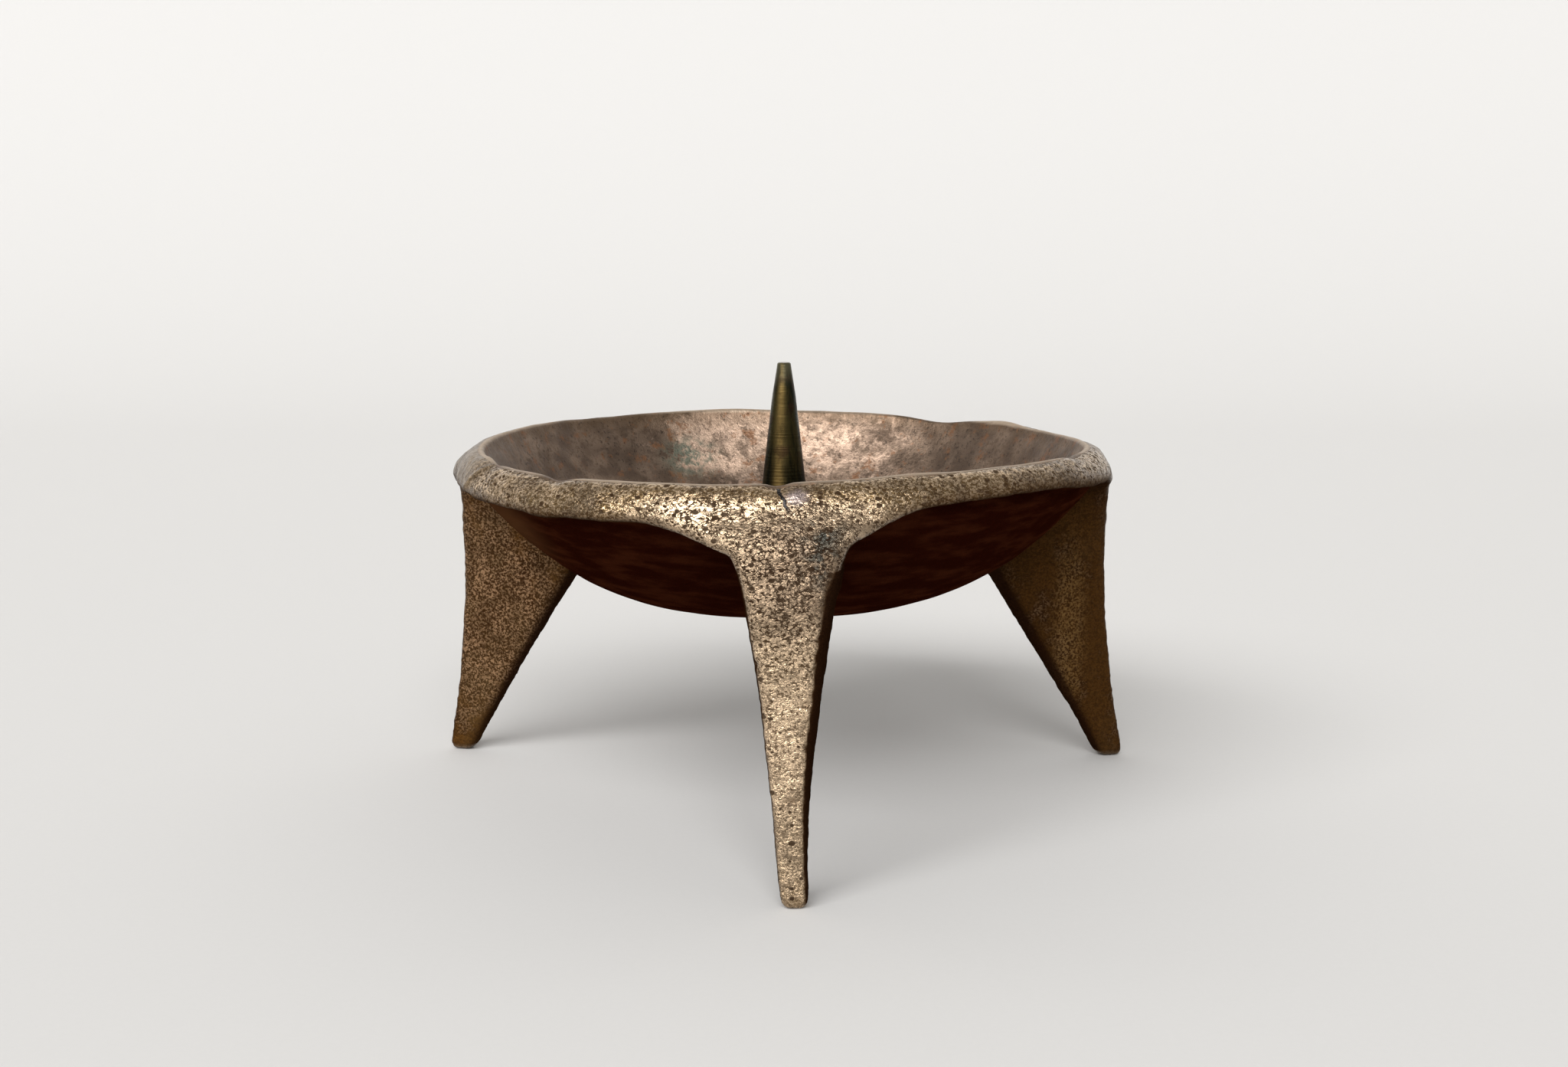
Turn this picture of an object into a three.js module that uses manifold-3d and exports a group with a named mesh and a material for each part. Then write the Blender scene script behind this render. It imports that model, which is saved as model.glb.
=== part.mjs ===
// A low candlestick: a shallow cast bowl with a heavy wavy rim band, three blade legs and a turned pricket.
// Millimetres, +Z up. The origin is on the table, under the middle of the whole piece's box. The front leg points
// to -Y. The sizes below are measured from the bowl's own axis, which stands a little behind the origin.
// An angle round the bowl starts at the front leg's side (-Y) and grows towards +X.
import * as THREE from "three";
import { mergeVertices } from "three/addons/utils/BufferGeometryUtils.js";
import Module from "manifold-3d";

const wasm = await Module();
wasm.setup();

// Bowl
const CREST_HEIGHT = 67; // bowl's upper edge above the table, on average
const MOUTH_RADIUS = 56.5; // inside of the bowl at its upper edge
const EDGE_THICKNESS = 1.8; // bowl's wall at its upper edge
const EDGE_ROUND = 0.6; // how much its corners are taken off
const COLLAR_HEIGHT = 7; // upright part of the bowl's wall, which the rim band goes round
const BOWL_DEPTH = 24; // from the foot of that upright part down to the lowest point of the underside
const FLOOR_THICKNESS = 4.2; // bowl's floor
const WAVE_HEIGHT = 0.7; // how far the hand-made rim goes up and down from its average
const SMALL_WAVE_HEIGHT = 0.21; // how much each of two lesser waves adds to that
const BOWL_POWER = 3; // 2 would be a plain dish, and a larger number has a flatter floor
const SEAT_RADIUS = 12; // flat round seat in the bowl's floor for the pricket
const PINCH_DEPTH = 1.5; // how far the mouth is drawn in over each side leg
const PINCH_SPREAD = 36; // degrees on each side of a side leg over which it is drawn in
const PINCH_START_HEIGHT = 57; // height where that begins
const PINCH_RISE_HEIGHT = 7; // and how much higher it is full

// Rim band
const BAND_WIDTH = 3.6; // thickness of the band, between the legs
const BAND_HEIGHT = 6.2; // from its top down to its lower edge, between the legs
const THIN_HEIGHT = 4.3; // the same, where the band is thinnest
const BAND_SET_DOWN = 0.2; // how far its top stays under the bowl's edge
const THIN_ANGLE = 42; // direction of that place
const THIN_SPREAD = 60; // degrees on each side of it over which the band gets thinner
const FRONT_EAR_WIDTH = 8.6; // how far out from the bowl the band is drawn over the front leg
const SIDE_EAR_WIDTH = 11.8; // and over a side leg
const RIGHT_EAR_SHARE = 0.9; // the right ear is that much smaller
const FRONT_EAR_SPREAD = 24; // degrees on each side of the front leg over which it is drawn out
const SIDE_EAR_SPREAD = 20; // and on each side of a side leg
const FRONT_SLOPE_SHARE = 0.7; // 1 would be a straight slope down to its edge, and 0 as round as over a side leg
const EAR_HEIGHT = 11.8; // from the band's top down to where its outer edge hangs over each leg
const EAR_POWER = 1.5; // 1 would hang down evenly, and a larger number does so nearer to its edge

// Legs
const LEG_SPREAD = 111; // degrees from the front leg to the left one
const RIGHT_LEG_SPREAD = 110; // and to the right one
const FRONT_TWIST_ANGLE = 8; // degrees that the front leg's blade turns away from the bowl's axis
const RIGHT_TWIST_ANGLE = 2; // and the right leg's
const FRONT_LEAN = 1.6; // how far the front foot leans to the right
const FRONT_BEND = 30; // height under which it leans
const RIGHT_LEAN = 3.4; // how far the right foot leans forwards
const RIGHT_BEND = 60; // height under which it leans
const RIGHT_FOOT_INSET = 1.4; // how much nearer to the axis the right foot stands
const RIGHT_FOOT_GROWTH = 1.5; // how much longer it is, on its inner side
const FOOT_RADIUS = 71; // middle of each foot from the bowl's axis
const FOOT_LENGTH = 4.9; // foot, measured away from the bowl's axis
const FOOT_WIDTH = 4.9; // foot, measured across the leg
const WAIST_RADIUS = 68; // outer edge of a leg where it is nearest to the axis
const WAIST_HEIGHT = 50; // height under which a leg leans out
const FRONT_NECK_WIDTH = 21; // width of the front leg's outer face just under the rim band
const SIDE_NECK_WIDTH = 17.5; // and of a side leg's
const FRONT_NECK_FLARE = 8; // how much wider than that the front leg's face gets, from its waist up
const SIDE_NECK_FLARE = 3; // and a side leg's
const BLADE_ROOT_RADIUS = 36; // inner end of a leg, inside the bowl's underside before the bowl cuts it off
const INNER_SHARE = 0.72; // width of a leg's inner edge, as a share of its outer face
const BLADE_ROOT_DEPTH = 9; // how far under the rim band a leg's inner edge ends, before the bowl cuts it off
const NECK_TUCK = 0.6; // how far a leg's outer face stays behind the rim band's side
const NECK_RISE = 5; // height over which it gets there, above the waist
const FOOT_ROUND = 2.2; // height of the rounding under a foot
const FOOT_FLAT_SHARE = 0.6; // share of the foot's size that stays flat underneath
const SECTION_ROUND_SHARE = 0.4; // rounding of a leg's corners, as a share of half its section
const OUTER_POWER = 1.7; // 1 would be a straight edge, and a larger number bends it
const INNER_POWER = 1.15; // the same for the inner edge
const FLARE_POWER = 2.5; // how late the outer face widens towards the neck

// Pricket and its screw
const PRICKET_BASE = 12.6; // diameter on the bowl's floor
const PRICKET_TIP = 2.5; // diameter of the flat tip
const PRICKET_RISE = 15; // how far the tip stands above the crest
const PRICKET_SHOULDER = 5.8; // length of the steeper cone next to the tip
const PRICKET_SHOULDER_WIDTH = 4.3; // diameter where that steeper cone starts
const SCREW_DIAMETER = 4; // thread of the screw from beneath
const SCREW_GRIP = 9; // length of the screw inside the pricket
const SCREW_HEAD = 7.4; // diameter of the screw's head
const SCREW_HEAD_HEIGHT = 2.6;
const SCREW_HEAD_FACE_SHARE = 0.7; // flat outer face of the head, as a share of its diameter
const SCREW_HEAD_EDGE_SHARE = 0.45; // and the height of its rounded edge, as a share of the head's
const SLOT_WIDTH = 1.2;
const SLOT_DEPTH = 1.2;
const WASHER_DIAMETER = 10;
const WASHER_THICKNESS = 1;

// Clearances
const FIT = 0.3; // between two pieces that touch

// Steps of the round forms
const ROUND_STEPS = 60; // round the bowl
const BAND_STEPS = 108; // round the rim band
const PROFILE_STEPS = 12; // along the bowl's wall
const LEG_STEPS = 22; // up a leg
const STEP_SPACING = 1.5; // 1 would be even steps, and a larger number puts more of them near the foot
const CORNER_STEPS = 3; // round each corner of a leg
const TURNED_STEPS = 40; // round the pricket, the screw and the washer

// Worked out from the sizes above
const BOWL_RADIUS = MOUTH_RADIUS + EDGE_THICKNESS; // outside of the bowl's upright part
const COLLAR_FOOT = CREST_HEIGHT - COLLAR_HEIGHT;
const BOWL_BOTTOM = COLLAR_FOOT - BOWL_DEPTH; // lowest point of the bowl's underside
const FLOOR_HEIGHT = BOWL_BOTTOM + FLOOR_THICKNESS; // bowl's floor, inside
const BAND_RADIUS = BOWL_RADIUS + FIT; // inside of the rim band
const BAND_TOP = CREST_HEIGHT - BAND_SET_DOWN;
const LEG_TOP = BAND_TOP - BAND_HEIGHT; // height where a leg has its full width
const BLADE_ROOT_HEIGHT = LEG_TOP - BLADE_ROOT_DEPTH;
const PINCH_TOP = PINCH_START_HEIGHT + PINCH_RISE_HEIGHT;

const radians = THREE.MathUtils.degToRad;
const mix = THREE.MathUtils.lerp;
const clamp = THREE.MathUtils.clamp;

const FRONT_EAR = { reach: FRONT_EAR_WIDTH, spread: FRONT_EAR_SPREAD, slope: FRONT_SLOPE_SHARE };
const SIDE_EAR = { reach: SIDE_EAR_WIDTH, spread: SIDE_EAR_SPREAD, slope: 0 };
const RIGHT_EAR = { reach: SIDE_EAR_WIDTH * RIGHT_EAR_SHARE, spread: SIDE_EAR_SPREAD, slope: 0 };

const LEGS = [
  {
    name: "leg_front",
    angle: 0,
    ear: FRONT_EAR,
    neck: FRONT_NECK_WIDTH,
    flare: FRONT_NECK_FLARE,
    twist: FRONT_TWIST_ANGLE,
    lean: FRONT_LEAN,
    bend: FRONT_BEND,
    inset: 0,
    growth: 0,
  },
  {
    name: "leg_left",
    angle: -LEG_SPREAD,
    ear: SIDE_EAR,
    neck: SIDE_NECK_WIDTH,
    flare: SIDE_NECK_FLARE,
    twist: 0,
    lean: 0,
    bend: WAIST_HEIGHT,
    inset: 0,
    growth: 0,
  },
  {
    name: "leg_right",
    angle: RIGHT_LEG_SPREAD,
    ear: RIGHT_EAR,
    neck: SIDE_NECK_WIDTH,
    flare: SIDE_NECK_FLARE,
    twist: RIGHT_TWIST_ANGLE,
    lean: -RIGHT_LEAN,
    bend: RIGHT_BEND,
    inset: RIGHT_FOOT_INSET,
    growth: RIGHT_FOOT_GROWTH,
  },
];

// The rim's rise and fall: how often each wave comes round the bowl, and the direction of one of its tops.
const WAVES = [
  { turns: 1, rise: SMALL_WAVE_HEIGHT, top: 63 },
  { turns: 2, rise: WAVE_HEIGHT, top: 46 },
  { turns: 3, rise: SMALL_WAVE_HEIGHT, top: 24.7 },
];

const finish = {
  bowl: new THREE.MeshStandardMaterial({ color: 0x3b2a20, roughness: 0.42, metalness: 0.85 }),
  band: new THREE.MeshStandardMaterial({ color: 0x8a6c4c, roughness: 0.5, metalness: 0.9 }),
  leg: new THREE.MeshStandardMaterial({ color: 0x7c6142, roughness: 0.5, metalness: 0.9 }),
  pricket: new THREE.MeshStandardMaterial({ color: 0x2c2c20, roughness: 0.38, metalness: 0.9 }),
  screw: new THREE.MeshStandardMaterial({ color: 0x8f7a45, roughness: 0.4, metalness: 0.95 }),
};

// The angle between two directions round the bowl, from -180 to 180 degrees.
function turnBetween(a, b) {
  return THREE.MathUtils.euclideanModulo(a - b + 180, 360) - 180;
}

// 1 in one direction, and 0 further than the spread from it.
function nearAngle(angle, middle, spread) {
  const turn = Math.min(Math.abs(turnBetween(angle, middle)) / spread, 1);
  return Math.cos((turn * Math.PI) / 2) ** 2;
}

function waveAt(angle) {
  let rise = 0;
  for (const wave of WAVES) {
    rise += wave.rise * Math.cos(radians(wave.turns * (angle - wave.top)));
  }
  return rise;
}

// The mouth is a little narrower over the side legs.
function pinchAt(angle, height) {
  const left = nearAngle(angle, -LEG_SPREAD, PINCH_SPREAD);
  const right = nearAngle(angle, RIGHT_LEG_SPREAD, PINCH_SPREAD);
  return PINCH_DEPTH * (left + right) * clamp((height - PINCH_START_HEIGHT) / PINCH_RISE_HEIGHT, 0, 1);
}

// Height of the bowl's underside at a distance from the axis.
function undersideAt(radius) {
  return BOWL_BOTTOM + BOWL_DEPTH * Math.min(radius / BOWL_RADIUS, 1) ** BOWL_POWER;
}

// A closed geometry keeps only its positions, with shared corners merged.
function tidy(geometry) {
  geometry.deleteAttribute("normal");
  geometry.deleteAttribute("uv");
  return mergeVertices(geometry, 1e-3);
}

function solid(geometry) {
  const merged = tidy(geometry);
  const vertProperties = merged.attributes.position.array;
  const triVerts = new Uint32Array(merged.index.array);
  return new wasm.Manifold(new wasm.Mesh({ numProp: 3, vertProperties, triVerts }));
}

function meshFrom(body, name, material) {
  const { vertProperties, triVerts } = body.getMesh();
  const geometry = new THREE.BufferGeometry();
  geometry.setAttribute("position", new THREE.BufferAttribute(vertProperties, 3));
  geometry.setIndex(new THREE.BufferAttribute(triVerts, 1));
  geometry.computeVertexNormals();
  const mesh = new THREE.Mesh(geometry, material);
  mesh.name = name;
  return mesh;
}

// Turns an outline of [radius, height] points round the Z axis. Outlines run from the bottom outside upwards.
function turned(outline, steps) {
  const points = outline.map(([radius, height]) => new THREE.Vector2(radius, height));
  return new THREE.LatheGeometry(points, steps).rotateX(Math.PI / 2);
}

// Moves every point of a geometry by a rule of its distance, angle and height.
function reshape(geometry, rule) {
  const place = geometry.attributes.position;
  for (let i = 0; i < place.count; i += 1) {
    const x = place.getX(i);
    const y = place.getY(i);
    const radius = Math.hypot(x, y);
    const angle = THREE.MathUtils.radToDeg(Math.atan2(x, -y));
    const [newRadius, newHeight] = rule(radius, angle, place.getZ(i));
    const scale = radius > 0 ? newRadius / radius : 1;
    place.setXYZ(i, x * scale, y * scale, newHeight);
  }
  return geometry;
}

// The wave is full at the bowl's upper edge and dies out towards its floor.
function waved(geometry) {
  return reshape(geometry, (radius, angle, height) => {
    const share = clamp((height - FLOOR_HEIGHT) / (COLLAR_FOOT - FLOOR_HEIGHT), 0, 1);
    const wall = radius / BOWL_RADIUS;
    return [radius - pinchAt(angle, height) * wall, height + waveAt(angle) * share ** 2];
  });
}

// The underside's outline from the middle to the upright part, moved out by a clearance where one is asked for.
function undersideOutline(clearance) {
  const outline = [];
  for (let i = 0; i <= PROFILE_STEPS; i += 1) {
    const share = i / PROFILE_STEPS;
    outline.push([BOWL_RADIUS * share + clearance * share, undersideAt(BOWL_RADIUS * share) - clearance]);
  }
  return outline;
}

function bowlBody() {
  const outline = undersideOutline(0);
  const top = CREST_HEIGHT - EDGE_ROUND;
  outline.push([BOWL_RADIUS, PINCH_TOP]);
  outline.push([BOWL_RADIUS, top]);
  outline.push([BOWL_RADIUS - EDGE_ROUND, CREST_HEIGHT]);
  outline.push([MOUTH_RADIUS + EDGE_ROUND, CREST_HEIGHT]);
  for (let i = PROFILE_STEPS; i > 0; i -= 1) {
    const share = i / PROFILE_STEPS;
    outline.push([mix(SEAT_RADIUS, MOUTH_RADIUS, share), mix(FLOOR_HEIGHT, top, share ** BOWL_POWER)]);
  }
  outline.push([SEAT_RADIUS, FLOOR_HEIGHT]);
  outline.push([0, FLOOR_HEIGHT]);
  return solid(waved(turned(outline, ROUND_STEPS))).subtract(screwHole(CREST_HEIGHT));
}

// Everything inside the bowl's outer surface and over it, a clearance larger, which the legs stop at.
function bowlSpace() {
  const outline = undersideOutline(FIT);
  outline.push([BOWL_RADIUS + FIT, CREST_HEIGHT + COLLAR_HEIGHT]);
  outline.push([0, CREST_HEIGHT + COLLAR_HEIGHT]);
  return solid(waved(turned(outline, ROUND_STEPS)));
}

// The rim band's section from its inner lower corner, round the outside and over the top.
// Each point has a share of the band's reach from the bowl and a share of its height, measured down from its top.
const EDGE_SHARE = 0.89;
const BAND_UNDERSIDE = [[0, 1], [0.4, 1], [0.85, 0.98], [1, EDGE_SHARE]];
const BAND_FACE = [[1, 0.77], [0.93, 0.6], [0.8, 0.44], [0.64, 0.3], [0.43, 0.175], [0.18, 0.075], [0, 0.02]];
const BAND_SECTION = [...BAND_UNDERSIDE, ...BAND_FACE, [0, 0.5]];

// The space over the band's underside, which the legs stop at. It starts inside the bowl's wall, and is open to the
// sky and beyond the band's side.
const SPACE_START = -EDGE_THICKNESS;
const SPACE_END = 1 + BAND_RADIUS;
const SPACE_CEILING = [[SPACE_END, EDGE_SHARE], [SPACE_END, -1], [SPACE_START, -1]];
const BAND_SPACE = [[SPACE_START, 1], ...BAND_UNDERSIDE, ...SPACE_CEILING];

// The band's reach, height, extra drop at its outer edge and slope in one direction.
function bandAt(angle) {
  const band = { reach: BAND_WIDTH, drop: 0, slope: 0 };
  band.height = mix(BAND_HEIGHT, THIN_HEIGHT, nearAngle(angle, THIN_ANGLE, THIN_SPREAD));
  for (const leg of LEGS) {
    const share = nearAngle(angle, leg.angle, leg.ear.spread);
    band.reach = mix(band.reach, leg.ear.reach, share);
    band.height = mix(band.height, BAND_HEIGHT, share);
    band.drop += (EAR_HEIGHT - BAND_HEIGHT) * share;
    band.slope += leg.ear.slope * share;
  }
  return band;
}

function bandSolid(section, clearance) {
  const outline = section.map(([across, down]) => [BAND_RADIUS + across, -down]);
  outline.push(outline[0]);
  const shaped = reshape(turned(outline, BAND_STEPS), (radius, angle, height) => {
    const band = bandAt(angle);
    const along = radius - BAND_RADIUS;
    const across = clamp(along, 0, 1);
    const straight = height > 0 ? across : Math.min(across, -height / EDGE_SHARE);
    const beyond = along - across;
    const out = mix(across, straight, band.slope) * (band.reach - FIT) + across * clearance + beyond;
    const top = BAND_TOP + height * (band.height + band.drop * across ** EAR_POWER);
    const newRadius = BAND_RADIUS + out - pinchAt(angle, top) * (1 - across);
    return [newRadius, top + waveAt(angle) - clearance];
  });
  return solid(shaped);
}

// A leg's outer edge leans in from the foot to the waist, and goes straight up from there.
function outerEdgeAt(height) {
  const foot = FOOT_RADIUS + FOOT_LENGTH / 2;
  const share = clamp((WAIST_HEIGHT - height) / WAIST_HEIGHT, 0, 1);
  return mix(WAIST_RADIUS, foot, share ** OUTER_POWER);
}

function innerEdgeAt(height) {
  const foot = FOOT_RADIUS - FOOT_LENGTH / 2;
  return mix(foot, BLADE_ROOT_RADIUS, (height / BLADE_ROOT_HEIGHT) ** INNER_POWER);
}

function faceWidthAt(height, neck) {
  return mix(FOOT_WIDTH, neck, (height / LEG_TOP) ** FLARE_POWER);
}

// The foot's underside is rounded, with a flat left in its middle.
function footRoundingAt(height) {
  const share = clamp(height / FOOT_ROUND, 0, 1);
  return mix(FOOT_FLAT_SHARE, 1, Math.sqrt(1 - (1 - share) ** 2));
}

function roundedSquare() {
  const shape = new THREE.Shape();
  const round = SECTION_ROUND_SHARE;
  shape.moveTo(-1 + round, -1);
  shape.lineTo(1 - round, -1);
  shape.quadraticCurveTo(1, -1, 1, -1 + round);
  shape.lineTo(1, 1 - round);
  shape.quadraticCurveTo(1, 1, 1 - round, 1);
  shape.lineTo(-1 + round, 1);
  shape.quadraticCurveTo(-1, 1, -1, 1 - round);
  shape.lineTo(-1, -1 + round);
  shape.quadraticCurveTo(-1, -1, -1 + round, -1);
  return shape;
}

// A leg starts as a square post. Its first side direction becomes the way out from the bowl's axis, its second
// the way across the leg, and its length becomes the height. Above its waist it stays behind the rim band's side.
// It is made as high as the band's top, and the space of the bowl and the band is cut off.
function legBody(leg) {
  const post = new THREE.ExtrudeGeometry(roundedSquare(), {
    depth: 1,
    steps: LEG_STEPS,
    curveSegments: CORNER_STEPS,
    bevelEnabled: false,
  });
  const place = post.attributes.position;
  for (let i = 0; i < place.count; i += 1) {
    const out = (place.getX(i) + 1) / 2;
    const across = place.getY(i);
    const rise = (place.getZ(i) ** STEP_SPACING * BAND_TOP) / LEG_TOP;
    const outerHeight = rise * LEG_TOP;
    const innerHeight = rise * BLADE_ROOT_HEIGHT;
    const height = mix(innerHeight, outerHeight, out);
    const inner = innerEdgeAt(innerHeight) - leg.growth * (1 - rise);
    const outer = outerEdgeAt(outerHeight) - leg.inset * (1 - rise);
    const middle = (inner + outer) / 2;
    const rounding = footRoundingAt(height);
    const radius = mix(middle, mix(inner, outer, out), rounding);
    const aboveWaist = clamp((height - WAIST_HEIGHT) / (LEG_TOP - WAIST_HEIGHT), 0, 1);
    const flare = leg.flare * aboveWaist ** 2 * out ** 3;
    const width = (faceWidthAt(height, leg.neck) * mix(INNER_SHARE, 1, out) + flare) * rounding;
    const turn = Math.tan(radians(leg.twist)) * (outer - radius);
    const footShift = leg.lean * (1 - clamp(height / leg.bend, 0, 1)) ** 2;
    const side = (across * width) / 2 + turn + footShift;
    const sideAngle = leg.angle + THREE.MathUtils.radToDeg(Math.atan2(side, radius));
    const most = BOWL_RADIUS + bandAt(sideAngle).reach - NECK_TUCK;
    const nearBand = clamp((height - WAIST_HEIGHT) / NECK_RISE, 0, 1);
    const kept = radius > most ? mix(radius, most, nearBand) : radius;
    const direction = radians(leg.angle);
    const x = kept * Math.sin(direction) + side * Math.cos(direction);
    const y = -kept * Math.cos(direction) + side * Math.sin(direction);
    place.setXYZ(i, x, y, height);
  }
  return solid(post).subtract(bowlSpace()).subtract(bandSolid(BAND_SPACE, FIT));
}

function screwHole(top) {
  const radius = SCREW_DIAMETER / 2 + FIT;
  return solid(turned([[0, 0], [radius, 0], [radius, top], [0, top]], TURNED_STEPS));
}

function pricketBody() {
  const bottom = FLOOR_HEIGHT + FIT;
  const top = CREST_HEIGHT + PRICKET_RISE;
  const outline = [
    [0, bottom],
    [PRICKET_BASE / 2, bottom],
    [PRICKET_SHOULDER_WIDTH / 2, top - PRICKET_SHOULDER],
    [PRICKET_TIP / 2, top],
    [0, top],
  ];
  return solid(turned(outline, TURNED_STEPS)).subtract(screwHole(bottom + SCREW_GRIP + FIT));
}

function washerBody() {
  const top = BOWL_BOTTOM - FIT;
  const bottom = top - WASHER_THICKNESS;
  const hole = SCREW_DIAMETER / 2 + FIT;
  const rim = WASHER_DIAMETER / 2;
  return solid(turned([[hole, bottom], [rim, bottom], [rim, top], [hole, top], [hole, bottom]], TURNED_STEPS));
}

function screwBody() {
  const seat = BOWL_BOTTOM - FIT - WASHER_THICKNESS - FIT;
  const bottom = seat - SCREW_HEAD_HEIGHT;
  const tip = FLOOR_HEIGHT + FIT + SCREW_GRIP;
  const head = SCREW_HEAD / 2;
  const outline = [
    [0, bottom],
    [head * SCREW_HEAD_FACE_SHARE, bottom],
    [head, bottom + SCREW_HEAD_HEIGHT * SCREW_HEAD_EDGE_SHARE],
    [head, seat],
    [SCREW_DIAMETER / 2, seat],
    [SCREW_DIAMETER / 2, tip],
    [0, tip],
  ];
  const slot = new THREE.BoxGeometry(SCREW_HEAD * 2, SLOT_WIDTH, SLOT_DEPTH * 2).translate(0, 0, bottom);
  return solid(turned(outline, TURNED_STEPS)).subtract(solid(slot));
}

const candlestick = new THREE.Group();
candlestick.add(meshFrom(bowlBody(), "bowl", finish.bowl));
candlestick.add(meshFrom(bandSolid(BAND_SECTION, 0), "rim_band", finish.band));
for (const leg of LEGS) {
  candlestick.add(meshFrom(legBody(leg), leg.name, finish.leg));
}
candlestick.add(meshFrom(pricketBody(), "pricket", finish.pricket));
candlestick.add(meshFrom(washerBody(), "pricket_washer", finish.screw));
candlestick.add(meshFrom(screwBody(), "pricket_screw", finish.screw));

// Brings the middle of the box over the origin.
const middle = new THREE.Box3().setFromObject(candlestick, true).getCenter(new THREE.Vector3());
candlestick.position.set(-middle.x, -middle.y, 0);

const group = new THREE.Group();
group.add(candlestick);

export default group;
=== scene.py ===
"""Looks for a low cast candlestick: a dark bowl, a pitted rim band on three legs, and a turned pricket."""

import functools
import math

import bmesh
import bpy
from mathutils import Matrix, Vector, noise


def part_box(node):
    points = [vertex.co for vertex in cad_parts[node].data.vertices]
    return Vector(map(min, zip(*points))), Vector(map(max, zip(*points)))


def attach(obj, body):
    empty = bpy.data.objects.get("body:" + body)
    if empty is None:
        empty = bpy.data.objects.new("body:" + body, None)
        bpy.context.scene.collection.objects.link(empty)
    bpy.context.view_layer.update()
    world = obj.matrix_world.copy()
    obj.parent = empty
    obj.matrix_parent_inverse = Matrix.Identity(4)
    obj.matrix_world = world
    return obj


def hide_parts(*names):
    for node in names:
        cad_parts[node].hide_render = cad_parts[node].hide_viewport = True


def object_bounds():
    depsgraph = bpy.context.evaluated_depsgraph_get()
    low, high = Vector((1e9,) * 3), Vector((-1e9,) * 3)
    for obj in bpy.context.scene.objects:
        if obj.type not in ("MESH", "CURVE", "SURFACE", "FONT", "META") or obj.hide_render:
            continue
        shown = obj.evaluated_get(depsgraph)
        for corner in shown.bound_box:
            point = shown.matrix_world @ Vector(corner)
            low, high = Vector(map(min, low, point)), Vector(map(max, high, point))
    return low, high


bl_info = {
    "name": "Cast candlestick",
    "version": (1, 0, 0),
    "blender": (4, 5, 0),
    "location": "3D View > Sidebar > Candlestick",
    "description": "Builds the skins, finishes and studio of a low cast candlestick",
    "category": "Object",
}

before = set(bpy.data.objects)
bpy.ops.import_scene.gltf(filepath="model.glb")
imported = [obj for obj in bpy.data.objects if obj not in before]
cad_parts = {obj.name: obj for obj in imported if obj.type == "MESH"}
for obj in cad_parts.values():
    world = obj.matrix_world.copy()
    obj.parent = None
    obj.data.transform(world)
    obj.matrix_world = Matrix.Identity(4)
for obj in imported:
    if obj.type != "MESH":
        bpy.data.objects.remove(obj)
CAD_BOX = [list(corner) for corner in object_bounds()]

MM = 0.001
BOWL_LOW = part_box("bowl")[0]
PRICKET_LOW, PRICKET_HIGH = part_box("pricket")
AXIS = Vector(((PRICKET_LOW.x + PRICKET_HIGH.x) / 2, (PRICKET_LOW.y + PRICKET_HIGH.y) / 2, 0))
BOWL_RADIUS = AXIS.y - BOWL_LOW.y
BOWL_BOTTOM = BOWL_LOW.z
PRICKET_TOP = PRICKET_HIGH.z
PRICKET_FOOT = PRICKET_LOW.z
PRICKET_BASE = (PRICKET_HIGH.x - PRICKET_LOW.x) / 2
LEG_ROOT_RADIUS = 36 * MM  # where a leg's inner edge ends inside the bowl
LEG_ROOT_DROP = 9 * MM  # and how far below the leg's top that is
PARTING_HEIGHT = 54.5 * MM  # below it the cast skin belongs to the legs
LEG_ROOT_COVER = 1.2 * MM  # how deep a leg's top reaches into the bowl's underside
UNDERSIDE_RISE = 24 * MM  # from the bowl's bottom to the foot of its upright wall

WORLD_STRENGTH = 0.34
LAMP_PLACE = Vector((-4.56, -12.8, 11.6))
LAMP_AIM = Vector((0, 0, 40 * MM))
LAMP_SIZE = (21.3, 7.6)
LAMP_POWER = 3780.0
CAMERA_OFFSET = Vector((0, -391 * MM, 114.1 * MM))  # from the bowl's axis
CAMERA_TILT = 9.42  # degrees down
CAMERA_LENS = 47.46

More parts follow.
